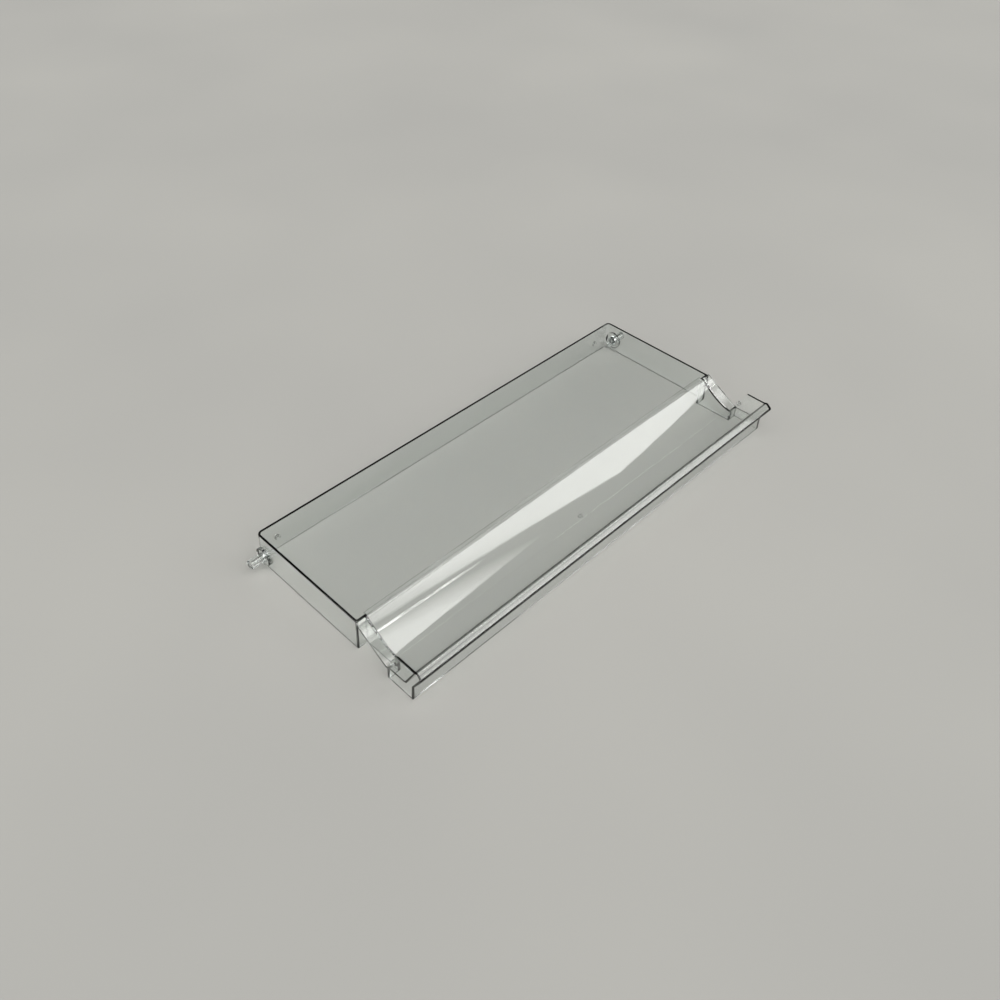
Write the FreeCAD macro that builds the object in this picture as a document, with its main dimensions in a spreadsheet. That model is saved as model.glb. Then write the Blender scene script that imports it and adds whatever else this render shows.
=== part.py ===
import FreeCAD, Part
import math
import os
import re
import Sketcher

# Clear hinged compartment cover of a refrigerator, with a grip trough along its front.
# Millimetres, +Z up. X runs along the length and +Y to the back. The part rests on its
# rims at Z = 0, with the origin under the middle of its overall length and depth.
# Inside each moulding Y = 0 is the ridge, where the flat panel ends and the trough starts.

SIZES = [
    # moulded sheet
    ("wall", 2.2, "thickness of every wall, the panel and the trough"),
    # cover: a flat panel with side walls and a back wall
    ("cover_length", 471.6, "over the side walls, at the panel"),
    ("cover_depth", 137.2, "from the ridge to the back wall, at the panel"),
    ("cover_height", 33.5, "from the rims to the top of the panel"),
    ("wall_flare", 1.4, "how far a wall's foot stands out from its top"),
    ("rear_corner_radius", 5.0, "back corners of the panel, seen from above"),
    ("top_edge_radius", 1.5, "outer edge round the panel"),
    ("lap_length", 4.0, "how far the front moulding's tongue reaches under the panel"),
    ("lap_clearance", 0.2, "between the tongue and the walls beside it"),
    # pivots in the side walls
    ("pivot_from_ridge", 127.8, "axis of the pivots behind the ridge"),
    ("pivot_height", 11.5, "axis of the pivots above the rims"),
    ("boss_radius", 9.2, "round boss in each side wall"),
    ("boss_outset", 3.5, "boss face outside the side wall's top"),
    ("boss_inset", 1.8, "boss face inside the side wall's top"),
    ("boss_edge_radius", 0.6, "rounding of the boss's outer edge"),
    ("pin_radius", 4.25, "journal of the pivot pin"),
    ("pin_clearance", 0.06, "radial clearance of the journal in its boss"),
    ("pin_end_play", 0.15, "axial clearance on each side of the boss"),
    ("pin_reach", 13.5, "journal standing out of the boss"),
    ("pin_head_radius", 4.9, "head, sunk flush in the boss's inner face"),
    ("pin_head_thickness", 1.5, "head of the pin"),
    ("head_clearance", 0.15, "radial clearance of the head in its counterbore"),
    ("pin_core_radius", 1.5, "hollow core, open at the head"),
    ("pin_tip_wall", 2.6, "solid end of the pin beyond its core"),
    ("pin_chamfer", 0.8, "bevel at the pin's tip"),
    ("snap_height", 0.35, "snap ridge above the journal"),
    ("snap_width", 1.2, "snap ridge along the journal"),
    # front moulding: cove, shelf, curled lip and skirt
    ("ridge_radius", 4.7, "rounding at the ridge, on top"),
    ("ridge_angle", 45.0, "steepest slope of the cove, below the ridge"),
    ("crease_from_ridge", 36.0, "foot of the cove, where the shelf starts"),
    ("shelf_height", 12.9, "top of the shelf at the crease"),
    ("shelf_rise", 0.7, "how much higher the shelf lies at the lip"),
    ("lip_reach", 77.4, "nose of the lip in front of the ridge"),
    ("lip_height", 35.9, "top of the lip above the rims"),
    ("lip_radius", 2.6, "rounding of the nose and of the crest"),
    ("lip_width", 3.2, "from the crest's centre forward to the nose's"),
    ("nose_drop", 2.6, "nose's centre below the crest's"),
    ("lip_lean", 15.4, "crest's centre in front of the root's"),
    ("root_radius", 3.5, "rounding where the shelf turns up into the lip"),
    ("skirt_setback", 9.4, "skirt's face behind the nose"),
    ("heel_height", 14.5, "where the skirt turns out into the lip"),
    ("heel_radius", 0.4, "rounding of that turn, outside"),
    # ends of the front moulding
    ("end_overhang", 0.8, "end caps beyond the cover's walls, at the foot"),
    ("plate_inset", 10.8, "end plates' inner face inside the cover's length at the panel"),
    ("flange_length", 34.9, "straight edge of the flanges, from the ridge forward"),
    ("flange_foot", 13.3, "foot of that edge above the rims, level with the cove there"),
    ("step_from_ridge", 38.0, "where the end plates step out to the end caps"),
    ("tab_slant", 11.0, "rear edge of the tab, from its foot to its top"),
    ("tab_height", 34.9, "top of the tab above the rims"),
    # stock that is trimmed away
    ("spare", 3.0, "what a cut or a blank reaches past the finished form"),
]

doc = FreeCAD.newDocument("compartment_cover")
sheet = doc.addObject("Spreadsheet::Sheet", "sizes")
for row, (alias, value, meaning) in enumerate(SIZES, start=1):
    sheet.set("A%d" % row, alias)
    sheet.set("B%d" % row, str(value))
    sheet.set("C%d" % row, meaning)
    sheet.setAlias("B%d" % row, alias)
doc.recompute()
ALIASES = {alias for alias, _, _ in SIZES}
NEAR = 0.001


def size(text):
    """Value of an expression in the sheet's aliases."""
    value = sheet.evalExpression(text)
    return float(getattr(value, "Value", value))


def bound(text):
    """The same expression as another object writes it."""
    return re.sub(r"[a-z_]+", lambda w: "sizes." + w[0] if w[0] in ALIASES else w[0], text)


def bind(thing, prop, text):
    thing.setExpression(prop, bound(text))


def new_body(label):
    body = doc.addObject("PartDesign::Body", label)
    body.Label = label
    return body


def origin_plane(body, role):
    return [f for f in body.Origin.OriginFeatures if f.Role == role][0]


def new_sketch(body, name, role, offset=None):
    """Sketch on one of the body's origin planes, moved along its normal by offset."""
    sketch = body.newObject("Sketcher::SketchObject", name)
    sketch.AttachmentSupport = [(origin_plane(body, role), "")]
    sketch.MapMode = "FlatFace"
    if offset:
        bind(sketch, "AttachmentOffset.Base.z", offset)
    return sketch


def hold(sketch, geo, vertex, across, up):
    """Fix a vertex at named distances from the sketch's origin."""
    for kind, text in (("DistanceX", across), ("DistanceY", up)):
        index = sketch.addConstraint(Sketcher.Constraint(kind, -1, 1, geo, vertex, size(text)))
        bind(sketch, "Constraints[%d]" % index, text)


def hold_radius(sketch, geo, text):
    index = sketch.addConstraint(Sketcher.Constraint("Radius", geo, size(text)))
    bind(sketch, "Constraints[%d]" % index, text)


def tangent_points(a, ra, b, rb):
    """Ends of the line that touches two circles. A radius is signed: + turns left, - right."""
    gap = b - a
    lean = math.asin((rb - ra) / gap.Length)
    angle = math.atan2(gap.y, gap.x) - lean
    normal = FreeCAD.Vector(-math.sin(angle), math.cos(angle), 0)
    return a - normal * ra, b - normal * rb


def draw_path(sketch, stops, closed=True):
    """Lines through stops. A stop is (across, up), or (across, up, radius, turn) for a
    round about that centre, where turn is 1 to the left and -1 to the right.
    Returns the geometry and vertex of the last stop of an open path."""
    centres = [FreeCAD.Vector(size(s[0]), size(s[1]), 0) for s in stops]
    radii = [size(s[2]) * s[3] if len(s) > 2 else 0.0 for s in stops]
    count = len(stops)
    lines = []
    for i in range(count if closed else count - 1):
        k = (i + 1) % count
        start, end = tangent_points(centres[i], radii[i], centres[k], radii[k])
        lines.append((sketch.addGeometry(Part.LineSegment(start, end), False), start, end))
    for i, stop in enumerate(stops):
        before = lines[i - 1] if closed or i > 0 else None
        after = lines[i] if i < len(lines) else None
        if len(stop) == 2:
            if before and after:
                sketch.addConstraint(Sketcher.Constraint("Coincident", before[0], 2, after[0], 1))
            geo, vertex = (after[0], 1) if after else (before[0], 2)
            hold(sketch, geo, vertex, stop[0], stop[1])
            continue
        entry, leave = before[2] - centres[i], after[1] - centres[i]
        ends = (entry, leave) if stop[3] > 0 else (leave, entry)
        first, last = [math.atan2(v.y, v.x) for v in ends]
        if last < first:
            last += 2 * math.pi
        circle = Part.Circle(centres[i], FreeCAD.Vector(0, 0, 1), abs(radii[i]))
        arc = sketch.addGeometry(Part.ArcOfCircle(circle, first, last), False)
        entry_end, leave_end = (1, 2) if stop[3] > 0 else (2, 1)
        sketch.addConstraint(Sketcher.Constraint("Tangent", before[0], 2, arc, entry_end))
        sketch.addConstraint(Sketcher.Constraint("Tangent", arc, leave_end, after[0], 1))
        hold(sketch, arc, 3, stop[0], stop[1])
        hold_radius(sketch, arc, stop[2])
    return (lines[-1][0], 2)


def rectangle(sketch, left, right, low, high):
    draw_path(sketch, [(left, low), (right, low), (right, high), (left, high)])


def add_circle(sketch, across, up, radius):
    centre = FreeCAD.Vector(size(across), size(up), 0)
    circle = Part.Circle(centre, FreeCAD.Vector(0, 0, 1), size(radius))
    geo = sketch.addGeometry(circle, False)
    hold(sketch, geo, 3, across, up)
    hold_radius(sketch, geo, radius)


def pad(body, sketch, name, length, both_ways=False):
    feature = body.newObject("PartDesign::Pad", name)
    feature.Profile = sketch
    feature.Midplane = both_ways
    bind(feature, "Length", length)
    return feature


def cut_through(body, sketch, name):
    """Cut the sketch's outline through everything, on both sides of its plane."""
    feature = body.newObject("PartDesign::Pocket", name)
    feature.Profile = sketch
    feature.Type = "ThroughAll"
    feature.Midplane = True
    return feature


def cut_to(body, sketch, name, depth, both_ways=False):
    feature = body.newObject("PartDesign::Pocket", name)
    feature.Profile = sketch
    feature.Midplane = both_ways
    bind(feature, "Length", depth)
    return feature


def mirror_ends(body, name, features):
    """The same features at the other end of the length."""
    feature = body.newObject("PartDesign::Mirrored", name)
    feature.Originals = features
    feature.MirrorPlane = (origin_plane(body, "YZ_Plane"), [""])
    body.Tip = feature
    return feature


def place_at_ridge(body):
    """Stand the ridge where the whole part is centred over the origin."""
    bind(body, "Placement.Base.y", RIDGE_Y)


# Shared places, as expressions
RIDGE_Y = "(lip_reach - cover_depth - wall_flare) / 2"
PANEL_UNDERSIDE = "cover_height - wall"
PLATE_INNER = "cover_length / 2 - plate_inset"
PLATE_OUTER = "cover_length / 2 - plate_inset + wall"
FLARE_PER_HEIGHT = "wall_flare / cover_height"
HEAD_SEAT = "cover_length / 2 - boss_inset + pin_head_thickness + pin_end_play"
END_FOOT = "cover_length / 2 + wall_flare + end_overhang"
END_STOCK = "cover_length / 2 + wall_flare + end_overhang + spare"


def cover_outline(body):
    """Outline of the cover at its rims, rounded at the two back corners."""
    sketch = new_sketch(body, "cover_foot", "XY_Plane")
    side = "(cover_length / 2 + wall_flare)"
    corner = "(cover_length / 2 - rear_corner_radius)"
    back = "(cover_depth - rear_corner_radius)"
    draw_path(sketch, [
        ("-" + side, "0"),
        (side, "0"),
        (corner, back, "rear_corner_radius + wall_flare", 1),
        ("-" + corner, back, "rear_corner_radius + wall_flare", 1),
    ])
    return sketch


def faces_where(feature, test):
    """Names of the feature's faces whose bounding box passes the test."""
    doc.recompute()
    return ["Face%d" % number for number, face in enumerate(feature.Shape.Faces, start=1)
            if test(face.BoundBox)]


def edges_where(feature, test):
    doc.recompute()
    return ["Edge%d" % number for number, edge in enumerate(feature.Shape.Edges, start=1)
            if test(edge.BoundBox)]


def make_cover():
    """Panel, back wall and side walls, with the pivot bosses near the back."""
    body = new_body("cover")
    block = pad(body, cover_outline(body), "block", "cover_height")
    # the side walls and the back wall stand out towards their feet
    draft = body.newObject("PartDesign::Draft", "flared_walls")
    draft.Base = (block, faces_where(block, lambda b: b.ZLength > NEAR and b.YMax > NEAR))
    draft.NeutralPlane = (origin_plane(body, "XY_Plane"), [""])
    bind(draft, "Angle", "atan(wall_flare / cover_height)")
    shell = body.newObject("PartDesign::Thickness", "hollow_underneath")
    shell.Base = (draft, faces_where(draft, lambda b: b.ZMax < NEAR))
    shell.Reversed = True
    shell.Join = "Intersection"
    bind(shell, "Value", "wall")
    # outer edge of the panel on its three walled sides
    top = size("cover_height")
    rounded = body.newObject("PartDesign::Fillet", "panel_edge_round")
    rounded.Base = (shell, edges_where(
        shell, lambda b: b.ZMin > top - NEAR and b.YMax > NEAR))
    bind(rounded, "Radius", "top_edge_radius")
    doc.recompute()
    # the front is open between the end plates, and a short return is left at each wall
    mouth = new_sketch(body, "mouth_outline", "XZ_Plane")
    rectangle(mouth, "-(%s)" % PLATE_INNER, PLATE_INNER, "-spare", PANEL_UNDERSIDE)
    cut_to(body, mouth, "front_mouth", "wall + spare")
    # half-thickness step under the panel's front edge
    rabbet = new_sketch(body, "rabbet_outline", "XZ_Plane")
    rectangle(rabbet, "-(%s)" % PLATE_INNER, PLATE_INNER, "-spare", "cover_height - wall / 2")
    cut_to(body, rabbet, "panel_rabbet", "lap_length")
    # bosses and their bores
    disc = new_sketch(body, "boss_outline", "YZ_Plane", "cover_length / 2 - boss_inset")
    add_circle(disc, "pivot_from_ridge", "pivot_height", "boss_radius")
    boss = pad(body, disc, "boss", "boss_inset + boss_outset")
    mirror = mirror_ends(body, "both_bosses", [boss])
    face = size("cover_length / 2 + boss_outset")
    eased = body.newObject("PartDesign::Fillet", "boss_edge_rounds")
    eased.Base = (mirror, edges_where(mirror, lambda b: min(abs(b.XMin), abs(b.XMax)) > face - NEAR))
    bind(eased, "Radius", "boss_edge_radius")
    bore = new_sketch(body, "bore_outline", "YZ_Plane")
    add_circle(bore, "pivot_from_ridge", "pivot_height", "pin_radius + pin_clearance")
    cut_through(body, bore, "pivot_bores")
    sink = new_sketch(body, "counterbore_outline", "YZ_Plane")
    add_circle(sink, "pivot_from_ridge", "pivot_height", "pin_head_radius + head_clearance")
    cut_to(body, sink, "head_counterbores", "2 * (%s)" % HEAD_SEAT, True)
    place_at_ridge(body)
    return body


# Rounds of the curled lip on the middle of the sheet, as (across, up, radius, turn).
# Seen along +X, the path climbs the skirt, goes over the nose and the crest, and comes
# down to the shelf.
SKIRT_Y = "-(lip_reach - skirt_setback - wall / 2)"
NOSE_Y = "-(lip_reach - lip_radius)"
CREST_Y = "-(lip_reach - lip_radius - lip_width)"
CREST_Z = "lip_height - lip_radius"
HEEL = ("-(lip_reach - skirt_setback + heel_radius)", "heel_height", "heel_radius + wall / 2", 1)
NOSE = (NOSE_Y, "lip_height - lip_radius - nose_drop", "lip_radius - wall / 2", -1)
CREST = (CREST_Y, CREST_Z, "lip_radius - wall / 2", -1)
ROOT = ("-(lip_reach - lip_radius - lip_width - lip_lean)",
        "shelf_height + shelf_rise + root_radius", "root_radius + wall / 2", 1)
CREASE = ("-crease_from_ridge", "shelf_height - wall / 2")


def cove_and_ridge(sketch, crease):
    """From the crease, the hollow of the cove and the rounding that ends level at the ridge."""
    radius = "ridge_radius - wall / 2"
    r = size(radius)
    angle = math.radians(size("ridge_angle"))
    centre = FreeCAD.Vector(0, size("cover_height - ridge_radius"), 0)
    up = FreeCAD.Vector(0, 0, 1)
    meet = centre + FreeCAD.Vector(-math.sin(angle), math.cos(angle), 0) * r
    ridge = sketch.addGeometry(
        Part.ArcOfCircle(Part.Circle(centre, up, r), math.pi / 2, math.pi / 2 + angle), False)
    foot = FreeCAD.Vector(size(CREASE[0]), size(CREASE[1]), 0)
    inward = FreeCAD.Vector(-math.sin(angle), math.cos(angle), 0)
    span = foot - meet
    cove_radius = span.Length ** 2 / (2 * span.dot(inward))
    cove_centre = meet + inward * cove_radius
    first = math.atan2(foot.y - cove_centre.y, foot.x - cove_centre.x)
    last = math.atan2(meet.y - cove_centre.y, meet.x - cove_centre.x)
    cove = sketch.addGeometry(
        Part.ArcOfCircle(Part.Circle(cove_centre, up, cove_radius), first, last), False)
    sketch.addConstraint(Sketcher.Constraint("Coincident", crease[0], crease[1], cove, 1))
    sketch.addConstraint(Sketcher.Constraint("Tangent", cove, 2, ridge, 2))
    hold(sketch, ridge, 3, "0", "cover_height - ridge_radius")
    hold_radius(sketch, ridge, radius)
    for vertex, text in ((1, "0"), (2, "-(%s) * sin(ridge_angle)" % radius)):
        index = sketch.addConstraint(
            Sketcher.Constraint("DistanceX", -1, 1, ridge, vertex, size(text)))
        bind(sketch, "Constraints[%d]" % index, text)


def make_front_grip():
    """Cove, shelf, curled lip and skirt as one sheet, closed at each end."""
    body = new_body("front_grip")
    # end caps: skirt side and upright tab in one outline, with flared faces
    caps = new_sketch(body, "cap_outline", "YZ_Plane")
    draw_path(caps, [
        ("-step_from_ridge", "0"),
        ("-step_from_ridge", "shelf_height"),
        ("-(step_from_ridge + tab_slant)", "tab_height"),
        CREST[:3] + (1,),
        NOSE[:3] + (1,),
        HEEL[:3] + (-1,),
        (SKIRT_Y, "0"),
    ])
    pad(body, caps, "cap_blank", "2 * (%s)" % END_STOCK, True)
    between = new_sketch(body, "between_caps", "XZ_Plane")
    inner_foot = "(%s - wall + spare * %s)" % (END_FOOT, FLARE_PER_HEIGHT)
    inner_top = "(%s - wall - (lip_height + spare) * %s)" % (END_FOOT, FLARE_PER_HEIGHT)
    draw_path(between, [
        ("-" + inner_foot, "-spare"),
        (inner_foot, "-spare"),
        (inner_top, "lip_height + spare"),
        ("-" + inner_top, "lip_height + spare"),
    ])
    cut_through(body, between, "clear_between_caps")
    # the sheet, swept from the foot of the skirt to the ridge
    path = new_sketch(body, "sheet_path", "YZ_Plane")
    crease = draw_path(path, [(SKIRT_Y, "0"), HEEL, NOSE, CREST, ROOT, CREASE], closed=False)
    cove_and_ridge(path, crease)
    strip = new_sketch(body, "sheet_end", "XY_Plane")
    rectangle(strip, "-(%s)" % END_STOCK, END_STOCK,
              "-(lip_reach - skirt_setback)", "-(lip_reach - skirt_setback - wall)")
    sweep = body.newObject("PartDesign::AdditivePipe", "curled_sheet")
    sweep.Profile = strip
    sweep.Spine = (path, [])
    sweep.Transition = "Round corner"
    # the cove's curve ends at the end plates
    beyond = new_sketch(body, "beyond_plates", "XY_Plane")
    for sign in ("", "-"):
        rectangle(beyond, "%s(%s)" % (sign, PLATE_OUTER), "%s(%s)" % (sign, END_STOCK + " + spare"),
                  "-flange_length", "spare")
    trimmed = cut_through(body, beyond, "trim_cove")
    # flange beyond each plate, from the cove's curve to a straight edge along the end
    plate_face = size(PLATE_OUTER)
    cove_end = faces_where(trimmed, lambda b: abs(b.XMin - plate_face) < NEAR and b.XLength < NEAR)
    edge_sketch = new_sketch(body, "flange_edge", "YZ_Plane", END_FOOT)
    ridge_end = "ridge_radius * sin(ridge_angle)"
    drop = "%s * (cover_height - flange_foot) / flange_length" % ridge_end
    draw_path(edge_sketch, [
        ("0", "cover_height"),
        ("-" + ridge_end, "cover_height - " + drop),
        ("-flange_length", "flange_foot"),
        ("-flange_length", "flange_foot - wall"),
        ("-" + ridge_end, "cover_height - wall - " + drop),
        ("0", PANEL_UNDERSIDE),
    ])
    flange = body.newObject("PartDesign::AdditiveLoft", "end_flange")
    flange.Profile = (trimmed, cove_end)
    flange.Sections = [(edge_sketch, [""])]
    flange.Ruled = True
    # end plate under the cove, up to the middle of the sheet
    plate_sketch = new_sketch(body, "plate_outline", "YZ_Plane", PLATE_INNER)
    under_cove = draw_path(plate_sketch, [
        ("0", "cover_height - wall / 2"),
        ("0", "0"),
        ("-(step_from_ridge + wall)", "0"),
        ("-(step_from_ridge + wall)", "shelf_height - wall / 2"),
        CREASE,
    ], closed=False)
    cove_and_ridge(plate_sketch, under_cove)
    plate = pad(body, plate_sketch, "end_plate", "wall")
    return_sketch = new_sketch(body, "return_outline", "YZ_Plane", PLATE_INNER)
    rectangle(return_sketch, "-(step_from_ridge + wall)", "-step_from_ridge",
              "0", "shelf_height - wall / 2")
    back = pad(body, return_sketch, "end_return", "%s - (%s)" % (END_STOCK, PLATE_INNER))
    mirror_ends(body, "both_ends", [plate, flange, back])
    # flared end faces, in one plane at each end
    ends = new_sketch(body, "beyond_ends", "XZ_Plane")
    foot = "(%s + spare * %s)" % (END_FOOT, FLARE_PER_HEIGHT)
    top = "(%s - (lip_height + spare) * %s)" % (END_FOOT, FLARE_PER_HEIGHT)
    far = "(%s + spare)" % END_STOCK
    for sign in ("", "-"):
        draw_path(ends, [
            (sign + foot, "-spare"),
            (sign + far, "-spare"),
            (sign + far, "lip_height + spare"),
            (sign + top, "lip_height + spare"),
        ])
    cut_through(body, ends, "flared_ends")
    # tongue that lies in the step under the panel
    tongue = new_sketch(body, "tongue_outline", "YZ_Plane")
    rectangle(tongue, "-wall / 2", "lap_length", PANEL_UNDERSIDE, "cover_height - wall / 2")
    pad(body, tongue, "lap_tongue", "2 * (%s - lap_clearance)" % PLATE_INNER, True)
    place_at_ridge(body)
    return body


def make_pin(label, side):
    """Hollow pivot pin, pushed through its boss from inside and held by a snap ridge.
    Its own X runs outward from the boss's inner face, flush with the outside of its head."""
    body = new_body(label)
    profile = new_sketch(body, label + "_profile", "XY_Plane")
    boss = "boss_inset + boss_outset"
    snap = "%s + pin_end_play" % boss
    tip = "(%s + pin_reach)" % boss
    draw_path(profile, [
        ("0", "pin_core_radius"),
        (tip + " - pin_tip_wall", "pin_core_radius"),
        (tip + " - pin_tip_wall", "0"),
        (tip, "0"),
        (tip, "pin_radius - pin_chamfer"),
        (tip + " - pin_chamfer", "pin_radius"),
        (snap + " + snap_width", "pin_radius"),
        (snap + " + snap_width / 2", "pin_radius + snap_height"),
        (snap, "pin_radius"),
        ("pin_head_thickness", "pin_radius"),
        ("pin_head_thickness", "pin_head_radius"),
        ("0", "pin_head_radius"),
    ])
    turn = body.newObject("PartDesign::Revolution", label + "_turned")
    turn.Profile = profile
    turn.ReferenceAxis = (profile, ["H_Axis"])
    turn.Angle = 360.0
    axis = FreeCAD.Vector(0, 0, 1)
    body.Placement = FreeCAD.Placement(
        FreeCAD.Vector(0, 0, 0), FreeCAD.Rotation(axis, 0 if side > 0 else 180))
    sign = "" if side > 0 else "-"
    bind(body, "Placement.Base.x", "%s(cover_length / 2 - boss_inset)" % sign)
    bind(body, "Placement.Base.y", "%s + pivot_from_ridge" % RIDGE_Y)
    bind(body, "Placement.Base.z", "pivot_height")
    return body


def check_and_write(bodies):
    doc.recompute()
    for thing in doc.Objects:
        if {"Invalid", "Error"} & set(thing.State):
            raise RuntimeError("%s failed: %s" % (thing.Label, thing.State))
    for body in bodies:
        if body.Shape.isNull() or not body.Shape.isValid() or not body.Shape.Solids:
            raise RuntimeError("%s has no valid solid" % body.Label)
    os.makedirs("parts", exist_ok=True)
    for body in bodies:
        body.Shape.exportStep("parts/%s.step" % body.Label)
        box = body.Shape.BoundBox
        print("%s: %d solid, %.0f mm3, X %.2f %.2f, Y %.2f %.2f, Z %.2f %.2f" % (
            body.Label, len(body.Shape.Solids), body.Shape.Volume,
            box.XMin, box.XMax, box.YMin, box.YMax, box.ZMin, box.ZMax))


check_and_write([
    make_cover(),
    make_front_grip(),
    make_pin("left_pivot_pin", -1),
    make_pin("right_pivot_pin", 1),
])
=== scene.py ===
import math

import bmesh
import bpy
from mathutils import Matrix, Vector


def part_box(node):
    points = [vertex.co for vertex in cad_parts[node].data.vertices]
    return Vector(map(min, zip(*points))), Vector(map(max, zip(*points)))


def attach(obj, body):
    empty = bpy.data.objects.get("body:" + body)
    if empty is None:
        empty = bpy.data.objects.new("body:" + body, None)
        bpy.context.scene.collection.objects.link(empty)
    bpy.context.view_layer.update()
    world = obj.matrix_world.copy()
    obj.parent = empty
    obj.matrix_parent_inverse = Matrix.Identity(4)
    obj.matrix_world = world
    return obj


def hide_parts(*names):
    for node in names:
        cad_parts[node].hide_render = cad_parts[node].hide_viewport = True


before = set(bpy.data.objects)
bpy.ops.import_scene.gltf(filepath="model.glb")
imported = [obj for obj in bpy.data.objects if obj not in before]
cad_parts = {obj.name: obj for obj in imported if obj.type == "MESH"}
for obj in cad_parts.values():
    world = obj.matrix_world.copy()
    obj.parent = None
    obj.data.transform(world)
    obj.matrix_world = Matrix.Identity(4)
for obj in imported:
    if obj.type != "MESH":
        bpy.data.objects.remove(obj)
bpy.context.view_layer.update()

# Clear hinged cover of a refrigerator compartment. Metres, in the CAD's frame.
# Inside the mouldings y = 0 is the ridge, where the flat panel ends and the trough starts.
MM = 0.001

# Places read from the frame
cover_low, cover_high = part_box("cover")
grip_low, grip_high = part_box("front_grip")
pin_low, pin_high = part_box("right_pivot_pin")
RIDGE_Y = cover_low.y
COVER_HEIGHT = cover_high.z
BOSS_OUTER = cover_high.x
BACK_FOOT = cover_high.y - RIDGE_Y
LIP_REACH = RIDGE_Y - grip_low.y
LIP_HEIGHT = grip_high.z
END_FOOT = grip_high.x
PIVOT_Y = (pin_low.y + pin_high.y) / 2 - RIDGE_Y
PIVOT_HEIGHT = (pin_low.z + pin_high.z) / 2
HEAD_FACE = pin_low.x

# Sheet and walls
WALL = 2.2 * MM
WALL_FLARE = 1.4 * MM
END_OVERHANG = 0.8 * MM
SIDE_FOOT = END_FOOT - END_OVERHANG
SIDE_TOP = SIDE_FOOT - WALL_FLARE
BACK_TOP = BACK_FOOT - WALL_FLARE
REAR_CORNER_RADIUS = 5.0 * MM
TOP_EDGE_RADIUS = 1.5 * MM
FOOT_RADIUS = 0.7 * MM
FLARE_PER_HEIGHT = WALL_FLARE / COVER_HEIGHT
PANEL_UNDERSIDE = COVER_HEIGHT - WALL
LAP_LENGTH = 4.0 * MM
LAP_CLEARANCE = 0.2 * MM
SEAM = 0.03 * MM

# Pivots
BOSS_RADIUS = 9.2 * MM
BOSS_EDGE_RADIUS = 0.6 * MM
PIN_RADIUS = 4.25 * MM
PIN_CLEARANCE = 0.06 * MM
PIN_HEAD_RADIUS = 4.9 * MM
PIN_HEAD_THICKNESS = 1.5 * MM
HEAD_CLEARANCE = 0.15 * MM
END_PLAY = 0.15 * MM

# Trough along the front
RIDGE_RADIUS = 4.7 * MM
RIDGE_ANGLE = math.radians(45)
CREASE = 36.0 * MM
SHELF_HEIGHT = 12.9 * MM
SHELF_RISE = 0.7 * MM
LIP_RADIUS = 2.6 * MM
LIP_WIDTH = 3.2 * MM
LIP_REAR_WALL = 1.2 * MM
NOSE_DROP = 2.6 * MM
LIP_LEAN = 15.4 * MM
ROOT_RADIUS = 3.5 * MM
SKIRT_SETBACK = 9.4 * MM
HEEL_HEIGHT = 14.5 * MM
HEEL_RADIUS = 0.4 * MM

# Ends of the trough: an end plate, a flange beyond it, a return wall and an upright tab
PLATE_INSET = 10.8 * MM
PLATE_INNER = SIDE_TOP - PLATE_INSET
PLATE_OUTER = PLATE_INNER + WALL
FLANGE_LENGTH = 34.9 * MM
FLANGE_FOOT = 13.3 * MM
RETURN_REACH = 38.0 * MM
TAB_SLANT = 11.0 * MM
TAB_HEIGHT = 34.9 * MM

# Marks of the mould, raised from the sheet and rooted in it
MARK_RAISE = 1.3 * MM
MARK_ROOT = -0.4 * MM
ARCH_X = 214.8 * MM
ARCH_SHIFT = 2.4 * MM
ARCH_HEIGHT = 14.4 * MM
ARCH_RADII = (1.5 * MM, 2.7 * MM)
ARCH_ENDS = (-0.5, math.pi + 0.5)
TAB_MARK_REACH = 42.5 * MM
TAB_MARK_HEIGHT = 20.0 * MM
TAB_MARK_RADII = (1.2 * MM, 2.4 * MM)
GATE_PLACE = (-3.0 * MM, -33.0 * MM, 13.7 * MM)
GATE_ROOT = -0.8 * MM
GATE_RADII = (1.3 * MM, 2.4 * MM)

# How finely a round is divided, what a cutter reaches past the form, what is welded and kept
ROUND_STEP = math.radians(6)
COVE_STEP = math.radians(0.75)
FOOT_STEP = math.radians(30)
MARK_STEP = math.radians(12)
TURN_SEGMENTS = 72
SPARE = 3.0 * MM
WELD = 0.002 * MM
FLAT_ANGLE = math.radians(0.05)
SHARP_ANGLE = math.radians(12)

# Light drawn on the ceiling, where u runs along +x and v along -y, per unit of height.
# An edge (a, b, c, softness) keeps the side where a*u + b*v > c.
WINDOW_EDGES = ((0.94, 0.342, 0.909, 0.02), (-1.053, 1.0, -0.507202, 0.02),
                (1.0, -0.4, 0.0, 0.02), (-0.3, -0.25, -1.9, 0.02))
WINDOW_FADE = (1.0, 0.0, 0.71, 0.18)
WINDOW_STRENGTHS = (2.2, 3.72)
LAMP_EDGES = ((0.6545, 0.756, 0.903, 0.01), (-0.6545, -0.756, -0.929, 0.01),
              (0.756, -0.6545, -0.17, 0.02), (-0.756, 0.6545, -0.02, 0.08))
LAMP_STRENGTH = 12.0
PANEL_EDGES = ((-0.672, 1.0, -0.1646, 0.012), (-1.0, -0.21, -0.616, 0.2),
               (0.0, -1.0, -2.0, 1.0))
PANEL_FADE = (1.0, 0.0, -0.2, 0.5)
PANEL_STRENGTHS = (1.54, 3.5)
ROOM_STRENGTH = 0.01
ROOM_RISE = 0.12
HORIZON = 0.02

# Floor and camera
FLOOR_HALF = 6.0
FLOOR_LEVEL = -0.05 * MM
CAMERA_PLACE = (-0.4962, -0.4354, 0.6242)
CAMERA_AZIMUTH = math.radians(-46.14)
CAMERA_ELEVATION = math.radians(44.03)
CAMERA_ROLL = math.radians(1.40)
CAMERA_LENS = 34.01


def new_piece(name, mesh):
    piece = bpy.data.objects.new(name, mesh)
    bpy.context.scene.collection.objects.link(piece)
    return piece


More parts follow.
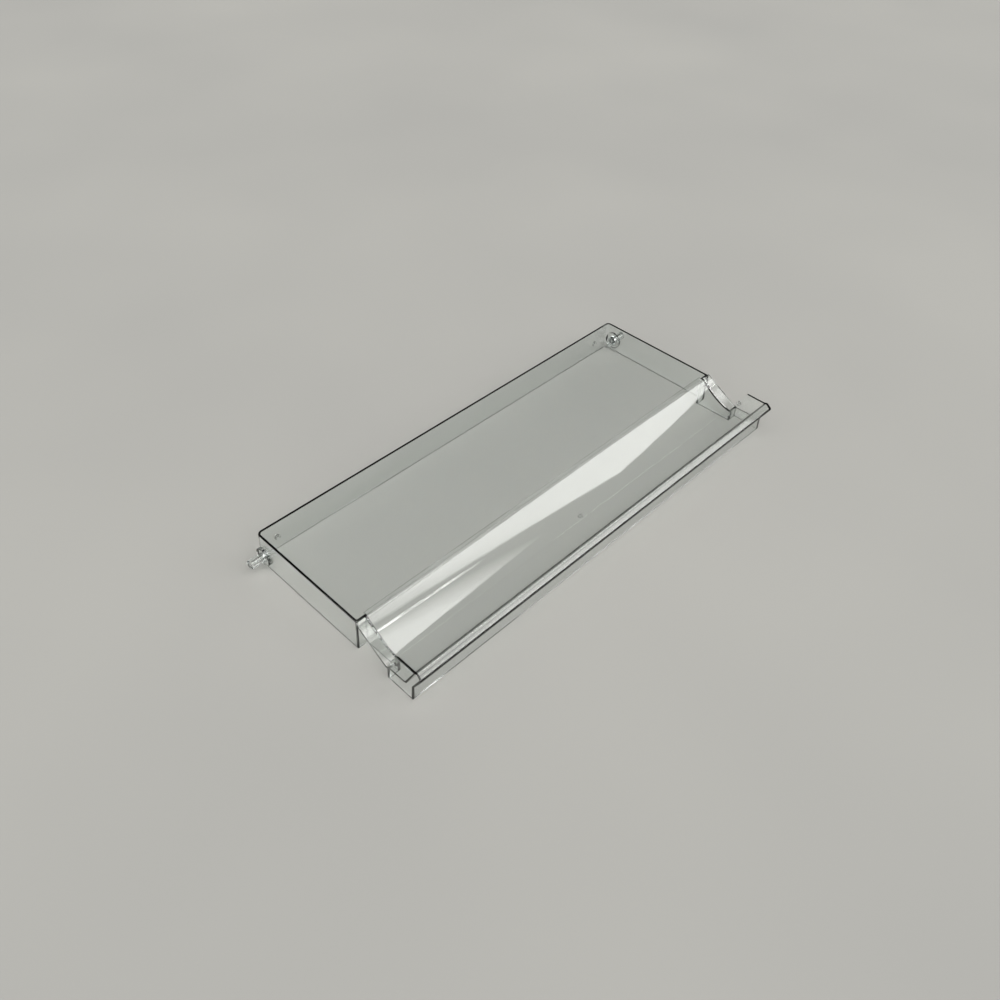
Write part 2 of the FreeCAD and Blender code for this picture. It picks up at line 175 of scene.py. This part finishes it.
def closed_piece(name, bm):
    """Piece made of the bmesh, with its faces turned outwards."""
    bmesh.ops.recalc_face_normals(bm, faces=bm.faces)
    mesh = bpy.data.meshes.new(name)
    bm.to_mesh(mesh)
    bm.free()
    return new_piece(name, mesh)


def drop(piece):
    mesh = piece.data
    bpy.data.objects.remove(piece)
    bpy.data.meshes.remove(mesh)


def round_points(centre, radius, first, last, step=ROUND_STEP):
    """Points of an arc about centre, in the plane of the outline, ends included."""
    count = max(2, math.ceil(abs(last - first) / step))
    angles = [first + (last - first) * i / count for i in range(count + 1)]
    return [Vector((centre[0] + radius * math.cos(a), centre[1] + radius * math.sin(a)))
            for a in angles]


def tangent_angle(a, ra, b, rb):
    """Direction of the line that touches two circles, whose radius is + for a left turn."""
    gap = b - a
    return math.atan2(gap.y, gap.x) - math.asin((rb - ra) / gap.length)


def path_points(stops, closed):
    """Points of an outline through stops: (y, z), or (y, z, radius, turn) for a round."""
    centres = [Vector(s[:2]) for s in stops]
    radii = [s[2] * s[3] if len(s) > 2 else 0.0 for s in stops]
    count = len(stops)
    heading = []
    for i in range(count if closed else count - 1):
        k = (i + 1) % count
        heading.append(tangent_angle(centres[i], radii[i], centres[k], radii[k]))
    points = []
    for i, stop in enumerate(stops):
        if len(stop) == 2:
            points.append(centres[i])
            continue
        turn = stop[3]
        enter, leave = heading[i - 1], heading[i]
        swing = (leave - enter) * turn % (2 * math.pi) * turn
        start = enter - turn * math.pi / 2
        points += round_points(centres[i], stop[2], start, start + swing)
    return points


def offset_line(points, distance):
    """The same open line, moved to its left by distance, with mitred corners."""
    moved = []
    for i, point in enumerate(points):
        before = points[i] - points[i - 1] if i > 0 else points[1] - points[0]
        after = points[i + 1] - points[i] if i < len(points) - 1 else before
        a, b = before.normalized(), after.normalized()
        normal = Vector((-a.y - b.y, a.x + b.x)).normalized()
        moved.append(point + normal * distance / normal.dot(Vector((-a.y, a.x))))
    return moved


def stack(name, rings):
    """Closed solid through rings of equally many points."""
    bm = bmesh.new()
    loops = [[bm.verts.new(p) for p in points] for points in rings]
    bm.faces.new(loops[0])
    bm.faces.new(loops[-1])
    for low, high in zip(loops, loops[1:]):
        for i in range(len(low)):
            k = (i + 1) % len(low)
            bm.faces.new((low[i], low[k], high[k], high[i]))
    return closed_piece(name, bm)


def prism(name, outline, left, right, lean=0.0):
    """Solid with a constant (y, z) outline between two places along x.
    Lean moves both ends inward with height."""
    bm = bmesh.new()
    ends = [[bm.verts.new((x - math.copysign(lean, x) * z, y, z)) for y, z in outline]
            for x in (left, right)]
    bm.faces.new(ends[0])
    bm.faces.new(reversed(ends[1]))
    for i in range(len(outline)):
        k = (i + 1) % len(outline)
        bm.faces.new((ends[0][k], ends[0][i], ends[1][i], ends[1][k]))
    return closed_piece(name, bm)


def block(name, low, high):
    (x0, y0, z0), (x1, y1, z1) = low, high
    return prism(name, [(y0, z0), (y1, z0), (y1, z1), (y0, z1)], x0, x1)


def lathe(name, profile, side):
    """Solid turned about the pivots' axis. The profile's (x, radius) points start and end on it."""
    turn = [2 * math.pi * k / TURN_SEGMENTS for k in range(TURN_SEGMENTS)]
    bm = bmesh.new()
    rings = []
    for x, radius in profile:
        spots = [(radius * math.cos(t), radius * math.sin(t)) for t in turn] if radius else [(0, 0)]
        rings.append([bm.verts.new((side * x, PIVOT_Y + y, PIVOT_HEIGHT + z)) for y, z in spots])
    for a, b in zip(rings, rings[1:]):
        for k in range(TURN_SEGMENTS):
            n = (k + 1) % TURN_SEGMENTS
            corners = [a[k % len(a)], a[n % len(a)], b[n % len(b)], b[k % len(b)]]
            bm.faces.new(dict.fromkeys(corners))
    return closed_piece(name, bm)


def mark(name, centre, across, up, radii, foot, ends=(0.0, 2 * math.pi)):
    """Flat raised ring around centre, or the part of one between two angles."""
    centre, across, up = Vector(centre), Vector(across), Vector(up)
    outward = across.cross(up)
    inner_radius, outer_radius = radii
    profile = ((inner_radius, foot), (outer_radius, foot),
               (outer_radius, MARK_RAISE), (inner_radius, MARK_RAISE))
    first, last = ends
    count = math.ceil((last - first) / MARK_STEP)
    closed = last - first == 2 * math.pi
    bm = bmesh.new()
    stations = []
    for k in range(count if closed else count + 1):
        t = first + (last - first) * k / count
        way = across * math.cos(t) + up * math.sin(t)
        stations.append([bm.verts.new(centre + way * r + outward * h) for r, h in profile])
    for k in range(count):
        a, b = stations[k], stations[(k + 1) % len(stations)]
        for i in range(4):
            n = (i + 1) % 4
            bm.faces.new((a[i], a[n], b[n], b[i]))
    if not closed:
        bm.faces.new(stations[0])
        bm.faces.new(stations[-1])
    return closed_piece(name, bm)


def combine(piece, operation, tools):
    """Join tools to the piece, or cut them from it, and remove them."""
    for tool in tools:
        step = piece.modifiers.new("step", "BOOLEAN")
        step.operation = operation
        step.solver = "EXACT"
        step.object = tool
        depsgraph = bpy.context.evaluated_depsgraph_get()
        mesh = bpy.data.meshes.new_from_object(piece.evaluated_get(depsgraph))
        old = piece.data
        piece.modifiers.clear()
        piece.data = mesh
        bpy.data.meshes.remove(old)
        drop(tool)
    return piece


def smooth_surface(piece):
    """Weld what the cuts left, and shade rounds smooth and flats flat."""
    bm = bmesh.new()
    bm.from_mesh(piece.data)
    bmesh.ops.remove_doubles(bm, verts=bm.verts, dist=WELD)
    bmesh.ops.dissolve_limit(bm, angle_limit=FLAT_ANGLE, verts=bm.verts, edges=bm.edges)
    bmesh.ops.recalc_face_normals(bm, faces=bm.faces)
    for face in bm.faces:
        face.smooth = True
    bm.to_mesh(piece.data)
    bm.free()
    piece.data.set_sharp_from_angle(angle=SHARP_ANGLE)
    weighted = piece.modifiers.new("weighted_normals", "WEIGHTED_NORMAL")
    weighted.keep_sharp = True
    weighted.weight = 100
    return piece


def rim_points(inset, z, front):
    """Outline of the cover's walls at height z, moved in by inset from the foot."""
    radius = REAR_CORNER_RADIUS + WALL_FLARE - inset
    side = SIDE_FOOT - inset
    centre = (SIDE_TOP - REAR_CORNER_RADIUS, BACK_TOP - REAR_CORNER_RADIUS)
    right = round_points(centre, radius, 0, math.pi / 2)
    left = [Vector((-p.x, p.y)) for p in reversed(right)]
    outline = [Vector((-side, front)), Vector((side, front))] + right + left
    return [(p.x, p.y, z) for p in outline]


def foot_round():
    """Quarter round at a wall's foot, from the floor to where it meets the wall."""
    return round_points((0, FOOT_RADIUS), FOOT_RADIUS, -math.pi / 2, 0, FOOT_STEP)


def walled_block():
    """Outside of the cover: flared walls, rounded at the back corners, the top and the foot."""
    lean = math.atan(FLARE_PER_HEIGHT)
    centre_z = COVER_HEIGHT - TOP_EDGE_RADIUS
    centre_inset = FLARE_PER_HEIGHT * centre_z + TOP_EDGE_RADIUS / math.cos(lean)
    top = round_points((0, 0), TOP_EDGE_RADIUS, lean, math.pi / 2)
    rings = [rim_points(FOOT_RADIUS - p.x, p.y, SEAM) for p in foot_round()]
    rings += [rim_points(centre_inset - p.x, centre_z + p.y, SEAM) for p in top]
    return stack("cover_shell", rings)


def hollow():
    """Space inside the cover's walls, open below."""
    inset = WALL / math.cos(math.atan(FLARE_PER_HEIGHT))
    rings = [rim_points(inset - FOOT_RADIUS, -SPARE, WALL)]
    rings += [rim_points(inset - FOOT_RADIUS + p.x, p.y, WALL) for p in foot_round()]
    rings.append(rim_points(FLARE_PER_HEIGHT * PANEL_UNDERSIDE + inset, PANEL_UNDERSIDE, WALL))
    return stack("hollow", rings)


def boss_profile():
    """Boss from its inner face to the round at its outer face."""
    edge = round_points((BOSS_OUTER - BOSS_EDGE_RADIUS, BOSS_RADIUS - BOSS_EDGE_RADIUS),
                        BOSS_EDGE_RADIUS, math.pi / 2, 0)
    return [(HEAD_FACE, 0), (HEAD_FACE, BOSS_RADIUS)] + [tuple(p) for p in edge] + [(BOSS_OUTER, 0)]


def bore_profile():
    """Hole for a pin, with a seat for its head on the inside."""
    bore_radius = PIN_RADIUS + PIN_CLEARANCE
    sink_radius = PIN_HEAD_RADIUS + HEAD_CLEARANCE
    seat = HEAD_FACE + PIN_HEAD_THICKNESS + END_PLAY
    return [(HEAD_FACE - SPARE, 0), (HEAD_FACE - SPARE, sink_radius), (seat, sink_radius),
            (seat, bore_radius), (BOSS_OUTER + SPARE, bore_radius), (BOSS_OUTER + SPARE, 0)]


def make_cover():
    """Panel with a back wall and side walls, bosses, and a rabbet for the front's tongue."""
    shell = walled_block()
    mouth = block("mouth", (-PLATE_INNER, -SPARE, -SPARE),
                  (PLATE_INNER, WALL + SPARE, PANEL_UNDERSIDE))
    rabbet = block("rabbet", (-PLATE_INNER, -SPARE, COVER_HEIGHT / 2),
                   (PLATE_INNER, LAP_LENGTH + SEAM, COVER_HEIGHT - WALL / 2 + SEAM))
    combine(shell, "DIFFERENCE", [hollow(), mouth, rabbet])
    back_face = BACK_FOOT - FLARE_PER_HEIGHT * ARCH_HEIGHT - WALL
    for side in (-1, 1):
        combine(shell, "UNION", [lathe("boss", boss_profile(), side)])
        combine(shell, "DIFFERENCE", [lathe("bore", bore_profile(), side)])
        place = (side * ARCH_X - ARCH_SHIFT, back_face, ARCH_HEIGHT)
        arch = mark("arch_mark", place, (1, 0, 0), (0, 0, 1), ARCH_RADII, MARK_ROOT, ARCH_ENDS)
        combine(shell, "UNION", [arch])
    return shell


def lip_stops():
    """Rounds of the curled lip on the middle of the sheet, from the skirt's foot to the crease."""
    crest_y = -(LIP_REACH - LIP_RADIUS - LIP_WIDTH)
    skirt_y = -(LIP_REACH - SKIRT_SETBACK - WALL / 2)
    heel = (-(LIP_REACH - SKIRT_SETBACK + HEEL_RADIUS), HEEL_HEIGHT, HEEL_RADIUS + WALL / 2, 1)
    nose = (-(LIP_REACH - LIP_RADIUS), LIP_HEIGHT - LIP_RADIUS - NOSE_DROP,
            LIP_RADIUS - WALL / 2, -1)
    crest = (crest_y, LIP_HEIGHT - LIP_RADIUS, LIP_RADIUS - WALL / 2, -1)
    root = (crest_y + LIP_LEAN, SHELF_HEIGHT + SHELF_RISE + ROOT_RADIUS, ROOT_RADIUS + WALL / 2, 1)
    return [(skirt_y, 0.0), heel, nose, crest, root, (-CREASE, SHELF_HEIGHT - WALL / 2)]


def cove_points():
    """From the crease up the hollow cove and over the ridge, on the middle of the sheet."""
    radius = RIDGE_RADIUS - WALL / 2
    centre = Vector((0, COVER_HEIGHT - RIDGE_RADIUS))
    inward = Vector((-math.sin(RIDGE_ANGLE), math.cos(RIDGE_ANGLE)))
    meet = centre + inward * radius
    foot = Vector((-CREASE, SHELF_HEIGHT - WALL / 2))
    span = foot - meet
    cove_radius = span.length_squared / (2 * span.dot(inward))
    cove_centre = meet + inward * cove_radius
    first = math.atan2(foot.y - cove_centre.y, foot.x - cove_centre.x)
    last = math.atan2(meet.y - cove_centre.y, meet.x - cove_centre.x)
    cove = round_points(cove_centre, cove_radius, first, last, COVE_STEP)
    ridge = round_points(centre, radius, math.pi / 2 + RIDGE_ANGLE, math.pi / 2)
    return cove[1:] + ridge[1:]


def sheet_section(stops):
    """Section of the front's sheet. Behind its crest the lip is thinner, and the shelf
    brings it back to the full wall."""
    middle = path_points(stops, closed=False) + cove_points()
    crest_y = stops[3][0]
    inner = []
    for full, thin in zip(offset_line(middle, -WALL / 2),
                          offset_line(middle, WALL / 2 - LIP_REAR_WALL)):
        behind = min(1.0, max(0.0, (full.x - crest_y) / LIP_RADIUS + 1.0))
        above = min(1.0, max(0.0, (full.y - SHELF_HEIGHT) / ROOT_RADIUS))
        inner.append(full.lerp(thin, behind * above if full.x < -CREASE else 0.0))
    return offset_line(middle, WALL / 2) + inner[::-1]


def flange(section, side):
    """Sheet beyond the end plate, from the cove's curve there to a straight outer edge."""
    slope = (COVER_HEIGHT - FLANGE_FOOT) / FLANGE_LENGTH
    count = len(section) // 2
    straight = []
    for i, p in enumerate(section):
        edge = FLANGE_FOOT + (p.x + FLANGE_LENGTH) * slope - (0 if i < count else WALL)
        straight.append((p.x, edge if p.x > -FLANGE_LENGTH else p.y))
    rings = [[(side * x, y, z) for y, z in section] for x in (PLATE_INNER + WALL / 2, PLATE_OUTER)]
    rings += [[(side * x, y, z) for y, z in straight] for x in (END_FOOT, END_FOOT + SPARE)]
    return stack("flange", rings)


def make_front():
    """Cove, shelf, curled lip and skirt in one sheet, closed at both ends."""
    stops = lip_stops()
    skirt, heel, nose, crest = stops[:4]
    beyond = END_FOOT + SPARE
    sheet = prism("front_shell", sheet_section(stops), -beyond, beyond)
    tab = path_points([
        (-RETURN_REACH, 0.0), (-RETURN_REACH, SHELF_HEIGHT),
        (-(RETURN_REACH + TAB_SLANT), TAB_HEIGHT),
        crest[:3] + (1,), nose[:3] + (1,), heel[:3] + (-1,), skirt], closed=True)
    front_y, shelf_middle = -(RETURN_REACH + WALL), SHELF_HEIGHT - WALL / 2
    cove = [Vector(stops[-1])] + cove_points()
    run = [Vector((front_y, shelf_middle))] + cove
    cove_section = offset_line(run, WALL / 2) + offset_line(run, -WALL / 2)[::-1]
    plate = [(0, 0)] + [tuple(p) for p in reversed(cove)] + [(front_y, shelf_middle), (front_y, 0)]
    inner_foot = END_FOOT - WALL
    low, high = -2 * SPARE, LIP_HEIGHT + 2 * SPARE
    around = [(-LIP_REACH - SPARE, low), (SPARE, low), (SPARE, high), (-LIP_REACH - SPARE, high)]
    for side in (-1, 1):
        combine(sheet, "DIFFERENCE", [
            block("cut", (side * PLATE_OUTER, -RETURN_REACH, -SPARE),
                  (side * (beyond + SPARE), SPARE, LIP_HEIGHT))])
        combine(sheet, "UNION", [
            prism("tab", tab, side * inner_foot, side * (beyond + SPARE), FLARE_PER_HEIGHT),
            prism("plate", plate, side * PLATE_INNER, side * PLATE_OUTER),
            flange(cove_section, side),
            block("return", (side * (PLATE_INNER + WALL / 2), front_y, 0),
                  (side * (beyond + SPARE), -RETURN_REACH, shelf_middle))])
        combine(sheet, "DIFFERENCE", [
            prism("trim", around, side * END_FOOT, side * (END_FOOT + 6 * SPARE),
                  FLARE_PER_HEIGHT)])
        inside = inner_foot - FLARE_PER_HEIGHT * TAB_MARK_HEIGHT
        combine(sheet, "UNION", [
            mark("tab_mark", (side * inside, -TAB_MARK_REACH, TAB_MARK_HEIGHT),
                 (0, -side, 0), (0, 0, 1), TAB_MARK_RADII, MARK_ROOT)])
    gate = mark("gate_mark", GATE_PLACE, (1, 0, 0), (0, 1, 0), GATE_RADII, GATE_ROOT)
    tongue = block("tongue", (-(PLATE_INNER - LAP_CLEARANCE), -WALL / 2, PANEL_UNDERSIDE),
                   (PLATE_INNER - LAP_CLEARANCE, LAP_LENGTH, COVER_HEIGHT - WALL / 2))
    return combine(sheet, "UNION", [gate, tongue])


def clear_plastic():
    """Clear moulding plastic with a faint green depth and slightly uneven faces."""
    material = bpy.data.materials.new("clear_moulding")
    material.use_nodes = True
    nodes, links = material.node_tree.nodes, material.node_tree.links
    shader = nodes["Principled BSDF"]
    shader.inputs["Base Color"].default_value = (0.985, 1.0, 0.993, 1)
    shader.inputs["Transmission Weight"].default_value = 1.0
    shader.inputs["IOR"].default_value = 1.58
    shader.inputs["Roughness"].default_value = 0.0
    place = nodes.new("ShaderNodeTexCoord")
    waves = nodes.new("ShaderNodeTexNoise")
    waves.inputs["Scale"].default_value = 9.0
    waves.inputs["Detail"].default_value = 1.0
    uneven = nodes.new("ShaderNodeBump")
    uneven.inputs["Strength"].default_value = 0.25
    uneven.inputs["Distance"].default_value = 0.02 * MM
    links.new(place.outputs["Object"], waves.inputs["Vector"])
    links.new(waves.outputs["Fac"], uneven.inputs["Height"])
    links.new(uneven.outputs["Normal"], shader.inputs["Normal"])
    depth = nodes.new("ShaderNodeVolumeAbsorption")
    depth.inputs["Color"].default_value = (0.62, 0.86, 0.78, 1)
    depth.inputs["Density"].default_value = 9.0
    links.new(depth.outputs[0], nodes["Material Output"].inputs["Volume"])
    return material


def stand(piece, body, node, material):
    """Move a moulding from its ridge to the CAD's frame and let it stand for its node."""
    piece.data.transform(Matrix.Translation((0, RIDGE_Y, 0)))
    piece.data.materials.clear()
    piece.data.materials.append(material)
    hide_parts(node)
    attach(piece, body)


class Sums:
    """Short way to write sums in a node tree, and shapes on the ceiling."""

    def __init__(self, tree):
        self.tree = tree
        place = tree.nodes.new("ShaderNodeTexCoord")
        split = tree.nodes.new("ShaderNodeSeparateXYZ")
        tree.links.new(place.outputs["Generated"], split.inputs[0])
        x, y, self.z = split.outputs
        height = self.sum("MAXIMUM", self.z, HORIZON)
        self.u = self.sum("DIVIDE", x, height)
        self.v = self.sum("DIVIDE", self.sum("MULTIPLY", y, -1.0), height)

    def sum(self, operation, a, b, clamp=False):
        node = self.tree.nodes.new("ShaderNodeMath")
        node.operation = operation
        node.use_clamp = clamp
        for socket, value in zip(node.inputs, (a, b)):
            if isinstance(value, (int, float)):
                socket.default_value = value
            else:
                self.tree.links.new(value, socket)
        return node.outputs[0]

    def side_of(self, a, b, c, softness):
        """1 where a*u + b*v > c, fading over softness."""
        total = self.sum("ADD", self.sum("MULTIPLY", self.u, a), self.sum("MULTIPLY", self.v, b))
        past = self.sum("SUBTRACT", total, c - softness / 2)
        return self.sum("MULTIPLY", past, 1 / softness, True)

    def area(self, edges):
        """1 on the kept side of every edge."""
        inside = self.side_of(*edges[0])
        for edge in edges[1:]:
            inside = self.sum("MULTIPLY", inside, self.side_of(*edge))
        return inside

    def fade(self, edge, low, high):
        """Low before an edge and high past it."""
        return self.sum("ADD", self.sum("MULTIPLY", self.side_of(*edge), high - low), low)


def room_light():
    """Dim room, brighter overhead, with a window and a thin lamp beside the front, and a lit
    ceiling panel. The camera sees a plain backdrop instead."""
    world = bpy.data.worlds.new("room")
    bpy.context.scene.world = world
    world.use_nodes = True
    tree = world.node_tree
    sums = Sums(tree)
    window = sums.sum("MULTIPLY", sums.area(WINDOW_EDGES),
                      sums.fade(WINDOW_FADE, *WINDOW_STRENGTHS))
    lamp = sums.sum("MULTIPLY", sums.area(LAMP_EDGES), LAMP_STRENGTH)
    panel = sums.sum("MULTIPLY", sums.area(PANEL_EDGES), sums.fade(PANEL_FADE, *PANEL_STRENGTHS))
    level = sums.sum("ADD", sums.sum("MULTIPLY", sums.z, ROOM_RISE), ROOM_STRENGTH)
    for light in (window, lamp, panel):
        level = sums.sum("ADD", level, light)
    level = sums.sum("MULTIPLY", level, sums.sum("GREATER_THAN", sums.z, 0.0))
    background = tree.nodes["Background"]
    background.inputs["Color"].default_value = (1.0, 0.995, 0.98, 1)
    tree.links.new(level, background.inputs["Strength"])
    backdrop = tree.nodes.new("ShaderNodeBackground")
    backdrop.inputs["Color"].default_value = (0.72, 0.72, 0.70, 1)
    rays = tree.nodes.new("ShaderNodeLightPath")
    mix = tree.nodes.new("ShaderNodeMixShader")
    tree.links.new(rays.outputs["Is Camera Ray"], mix.inputs[0])
    tree.links.new(background.outputs[0], mix.inputs[1])
    tree.links.new(backdrop.outputs[0], mix.inputs[2])
    tree.links.new(mix.outputs[0], tree.nodes["World Output"].inputs["Surface"])


def floor():
    """Pale painted floor with faint clouds."""
    corners = [(x * FLOOR_HALF, y * FLOOR_HALF, FLOOR_LEVEL)
               for x, y in ((-1, -1), (1, -1), (1, 1), (-1, 1))]
    mesh = bpy.data.meshes.new("floor")
    mesh.from_pydata(corners, [], [(0, 1, 2, 3)])
    material = bpy.data.materials.new("floor_paint")
    material.use_nodes = True
    nodes, links = material.node_tree.nodes, material.node_tree.links
    shader = nodes["Principled BSDF"]
    place = nodes.new("ShaderNodeTexCoord")
    clouds = nodes.new("ShaderNodeTexNoise")
    clouds.inputs["Scale"].default_value = 2.2
    clouds.inputs["Detail"].default_value = 2.0
    tone = nodes.new("ShaderNodeValToRGB")
    dark, light = tone.color_ramp.elements
    dark.position, light.position = 0.3, 0.7
    dark.color = (0.356, 0.353, 0.337, 1)
    light.color = (0.386, 0.382, 0.361, 1)
    links.new(place.outputs["Object"], clouds.inputs["Vector"])
    links.new(clouds.outputs["Fac"], tone.inputs["Fac"])
    links.new(tone.outputs["Color"], shader.inputs["Base Color"])
    shader.inputs["Roughness"].default_value = 0.85
    mesh.materials.append(material)
    new_piece("floor", mesh)


def camera():
    """The photo's view."""
    back = Vector((math.sin(CAMERA_AZIMUTH) * math.cos(CAMERA_ELEVATION),
                   -math.cos(CAMERA_AZIMUTH) * math.cos(CAMERA_ELEVATION),
                   math.sin(CAMERA_ELEVATION)))
    right = (-back).cross(Vector((0, 0, 1))).normalized()
    up = right.cross(-back)
    rolled_right = right * math.cos(CAMERA_ROLL) + up * math.sin(CAMERA_ROLL)
    rolled_up = up * math.cos(CAMERA_ROLL) - right * math.sin(CAMERA_ROLL)
    data = bpy.data.cameras.new("camera")
    data.lens = CAMERA_LENS
    data.sensor_width = 36.0
    piece = bpy.data.objects.new("camera", data)
    bpy.context.scene.collection.objects.link(piece)
    turn = Matrix((rolled_right, rolled_up, back)).transposed().to_4x4()
    piece.matrix_world = Matrix.Translation(CAMERA_PLACE) @ turn
    bpy.context.scene.camera = piece


plastic = clear_plastic()
stand(smooth_surface(make_cover()), "cover", "cover", plastic)
stand(smooth_surface(make_front()), "cover", "front_grip", plastic)
for name in ("left_pivot_pin", "right_pivot_pin"):
    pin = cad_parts[name]
    pin.data.materials.clear()
    pin.data.materials.append(plastic)

room_light()
floor()
camera()
# The plastic stays sharp for the light that reaches the floor through it, and light that
# turns more than twice inside a wall is lost, which darkens the edges
bpy.context.scene.cycles.blur_glossy = 0.0
bpy.context.scene.cycles.glossy_bounces = 2
bpy.context.scene.view_settings.view_transform = "Standard"
